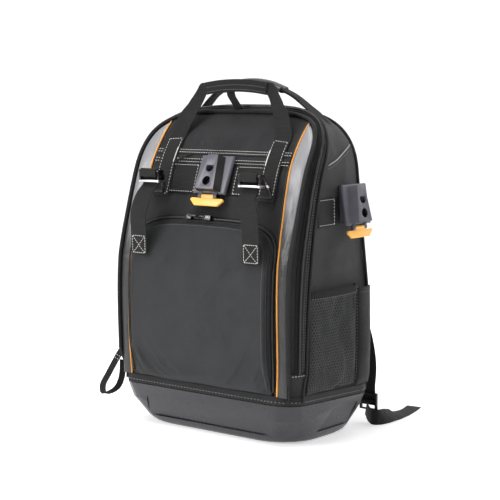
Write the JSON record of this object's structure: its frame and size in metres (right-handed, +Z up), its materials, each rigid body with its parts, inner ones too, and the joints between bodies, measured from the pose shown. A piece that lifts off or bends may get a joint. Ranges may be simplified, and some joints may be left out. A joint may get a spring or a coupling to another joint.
{
  "type": "tool backpack",
  "caption": "Black tool backpack with a moulded grey tray base, orange-piped front panel, two clip-on tool hubs with amber release tabs, carry handles and padded straps",
  "frame": {"origin": "middle of the tray's foot, on the floor", "axes": "+Z up, the front faces -Y, +X to the right as the front is seen"},
  "size_m": [0.4024, 0.4048, 0.557],
  "materials": {
    "body_fabric": "black woven polyester",
    "pocket_fabric": "charcoal woven polyester",
    "webbing": "ribbed black webbing",
    "zip_tape": "black zip tape and coil",
    "grey_vinyl": "satin grey coated fabric",
    "orange_piping": "orange piping",
    "mesh_fabric": "black honeycomb mesh",
    "pad_fabric": "black padded air mesh",
    "tray": "satin dark grey moulded plastic",
    "hub_plastic": "grey moulded nylon",
    "tab_plastic": "amber moulded nylon",
    "lock_plastic": "black acetal",
    "handle_rubber": "black rubber sleeve",
    "metal": "black-plated steel with worn bright edges"
  },
  "bodies": {
    "pack": {"base_tray": "tray", "base_band": "webbing", "main_shell": "body_fabric", "front_panel": "body_fabric", "main_zipper": "zip_tape", "front_piping": "webbing", "side_piping": "webbing", "back_piping": "webbing", "corner_patch_left": "body_fabric", "corner_patch_right": "body_fabric", "grey_strip_left": "grey_vinyl", "grey_strip_right": "grey_vinyl", "orange_piping_left": "orange_piping", "orange_piping_right": "orange_piping", "front_pocket": "pocket_fabric", "pocket_zipper": "zip_tape", "pocket_slider_left": "metal", "pocket_slider_right": "metal", "upper_zipper": "body_fabric", "hub_patch": "webbing", "front_hub": "hub_plastic", "side_patch": "webbing", "side_hub": "hub_plastic", "mesh_pocket_left": "mesh_fabric", "mesh_pocket_right": "mesh_fabric", "mesh_hem_left": "webbing", "mesh_hem_right": "webbing", "slot_pocket_left": "body_fabric", "slot_pocket_right": "body_fabric", "handle_leg_left": "webbing", "handle_leg_right": "webbing", "front_grip": "webbing", "grip_keeper": "webbing", "rear_sleeve": "handle_rubber", "rear_web_left": "webbing", "rear_web_right": "webbing", "compression_strap_left": "webbing", "compression_strap_right": "webbing", "strap_hook_left": "metal", "strap_hook_right": "metal", "upper_pull": "webbing", "main_slider": "metal", "pull_ring": "metal", "pull_loop": "webbing", "back_pad": "pad_fabric", "shoulder_strap_left": "pad_fabric", "shoulder_strap_right": "pad_fabric", "lower_web_left": "webbing", "lower_web_right": "webbing", "ladder_lock_left": "lock_plastic", "ladder_lock_right": "lock_plastic", "strap_tail_left": "webbing", "strap_tail_right": "webbing"},
    "front_tab": {"front_release_tab": "tab_plastic"},
    "side_tab": {"side_release_tab": "tab_plastic"}
  },
  "joints": [
    {"name": "front_tab_hinge", "type": "hinge", "parent": "pack", "child": "front_tab", "pos_m": [0, -0.09172, 0.37546], "axis": [-1, 0, 0], "range_deg": [0, 35], "stiffness_Nm_per_rad": 0.02},
    {"name": "side_tab_hinge", "type": "hinge", "parent": "pack", "child": "side_tab", "pos_m": [0.19072, 0.043, 0.32851], "axis": [0, -1, 0], "range_deg": [0, 35], "stiffness_Nm_per_rad": 0.02}
  ]
}
